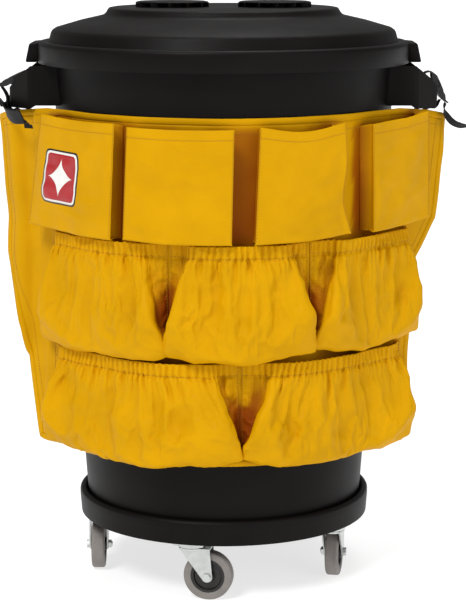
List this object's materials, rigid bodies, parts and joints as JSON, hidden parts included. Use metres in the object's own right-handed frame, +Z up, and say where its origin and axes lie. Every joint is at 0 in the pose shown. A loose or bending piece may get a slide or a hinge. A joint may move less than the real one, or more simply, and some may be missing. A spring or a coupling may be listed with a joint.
{
  "type": "cleaning caddy",
  "caption": "Round lidded waste container on a round caster dolly, with a strap-on fabric apron of flat pockets and elastic-topped pouches for cleaning supplies.",
  "frame": {"origin": "on the floor, on the vertical centre line of the round container and dolly", "axes": "+Z up, +X to the right of a person facing the pockets, the pockets facing -Y"},
  "size_m": [0.7337, 0.591, 0.9063],
  "materials": {
    "black_plastic": "moulded polyethylene, lightly grained",
    "zinc_steel": "bright zinc plating",
    "grey_rubber": "moulded grey thermoplastic rubber",
    "core_plastic": "moulded nylon",
    "yellow_fabric": "coated woven nylon",
    "elastic": "woven elastic",
    "black_webbing": "woven polypropylene webbing",
    "buckle_plastic": "moulded acetal"
  },
  "bodies": {
    "dolly": {"dolly_deck": "black_plastic", "caster_top_plates": "zinc_steel", "caster_kingpins": "zinc_steel", "caster_balls": "zinc_steel", "caster_plate_screws": "zinc_steel"},
    "container": {"container_body": "black_plastic", "container_handle_left": "black_plastic", "container_handle_right": "black_plastic", "bag_panel": "yellow_fabric", "pocket_top_1": "yellow_fabric", "pocket_top_2": "yellow_fabric", "pocket_top_3": "yellow_fabric", "pocket_top_4": "yellow_fabric", "pouch_middle_1": "yellow_fabric", "pouch_middle_2": "yellow_fabric", "pouch_middle_3": "yellow_fabric", "pouch_bottom_1": "yellow_fabric", "pouch_bottom_2": "yellow_fabric", "elastic_middle": "elastic", "elastic_bottom": "elastic", "strap_inner_left": "black_webbing", "strap_inner_right": "black_webbing", "strap_outer_left": "black_webbing", "strap_outer_right": "black_webbing", "buckle_female_left": "buckle_plastic", "buckle_female_right": "buckle_plastic"},
    "lid": {"lid": "black_plastic"},
    "buckle_left": {"buckle_male_left": "buckle_plastic", "strap_tail_left": "black_webbing"},
    "buckle_right": {"buckle_male_right": "buckle_plastic", "strap_tail_right": "black_webbing"},
    "swivel_1": {"caster_1_fork": "zinc_steel", "caster_1_axle_bolt": "zinc_steel", "caster_1_axle_nut": "zinc_steel"},
    "wheel_1": {"caster_1_wheel_core": "core_plastic", "caster_1_tyre": "grey_rubber"},
    "swivel_2": {"caster_2_fork": "zinc_steel", "caster_2_axle_bolt": "zinc_steel", "caster_2_axle_nut": "zinc_steel"},
    "wheel_2": {"caster_2_wheel_core": "core_plastic", "caster_2_tyre": "grey_rubber"},
    "swivel_3": {"caster_3_fork": "zinc_steel", "caster_3_axle_bolt": "zinc_steel", "caster_3_axle_nut": "zinc_steel"},
    "wheel_3": {"caster_3_wheel_core": "core_plastic", "caster_3_tyre": "grey_rubber"},
    "swivel_4": {"caster_4_fork": "zinc_steel", "caster_4_axle_bolt": "zinc_steel", "caster_4_axle_nut": "zinc_steel"},
    "wheel_4": {"caster_4_wheel_core": "core_plastic", "caster_4_tyre": "grey_rubber"},
    "swivel_5": {"caster_5_fork": "zinc_steel", "caster_5_axle_bolt": "zinc_steel", "caster_5_axle_nut": "zinc_steel"},
    "wheel_5": {"caster_5_wheel_core": "core_plastic", "caster_5_tyre": "grey_rubber"}
  },
  "joints": [
    {"name": "container_lift", "type": "slide", "parent": "dolly", "child": "container", "axis": [0, 0, 1], "range_m": [0, 0.12]},
    {"name": "lid_lift", "type": "slide", "parent": "container", "child": "lid", "axis": [0, 0, 1], "range_m": [0, 0.3]},
    {"name": "caster_1_swivel", "type": "hinge", "parent": "dolly", "child": "swivel_1", "pos_m": [-0.04853, -0.19609, 0.082], "axis": [0, 0, 1], "continuous": true},
    {"name": "caster_1_roll", "type": "hinge", "parent": "swivel_1", "child": "wheel_1", "pos_m": [-0.02251, -0.20114, 0.038], "axis": [0.1908, 0.9816, 0], "continuous": true},
    {"name": "caster_2_swivel", "type": "hinge", "parent": "dolly", "child": "swivel_2", "pos_m": [0.17149, -0.10675, 0.082], "axis": [0, 0, 1], "continuous": true},
    {"name": "caster_2_roll", "type": "hinge", "parent": "swivel_2", "child": "wheel_2", "pos_m": [0.17628, -0.08068, 0.038], "axis": [-0.9836, 0.1805, 0], "continuous": true},
    {"name": "caster_3_swivel", "type": "hinge", "parent": "dolly", "child": "swivel_3", "pos_m": [0.15451, 0.13011, 0.082], "axis": [0, 0, 1], "continuous": true},
    {"name": "caster_3_roll", "type": "hinge", "parent": "swivel_3", "child": "wheel_3", "pos_m": [0.16695, 0.15351, 0.038], "axis": [-0.8829, 0.4695, 0], "continuous": true},
    {"name": "caster_4_swivel", "type": "hinge", "parent": "dolly", "child": "swivel_4", "pos_m": [-0.076, 0.18716, 0.082], "axis": [0, 0, 1], "continuous": true},
    {"name": "caster_4_roll", "type": "hinge", "parent": "swivel_4", "child": "wheel_4", "pos_m": [-0.08844, 0.21056, 0.038], "axis": [-0.8829, -0.4695, 0], "continuous": true},
    {"name": "caster_5_swivel", "type": "hinge", "parent": "dolly", "child": "swivel_5", "pos_m": [-0.20148, -0.01444, 0.082], "axis": [0, 0, 1], "continuous": true},
    {"name": "caster_5_roll", "type": "hinge", "parent": "swivel_5", "child": "wheel_5", "pos_m": [-0.20148, -0.04094, 0.038], "axis": [1, 0, 0], "continuous": true},
    {"name": "buckle_left_release", "type": "slide", "parent": "container", "child": "buckle_left", "axis": [-0.8973, 0, -0.4415], "range_m": [0, 0.024], "deforming": ["strap_outer_left"]},
    {"name": "buckle_right_release", "type": "slide", "parent": "container", "child": "buckle_right", "axis": [0.3923, 0, -0.9198], "range_m": [0, 0.024], "deforming": ["strap_outer_right"]}
  ]
}
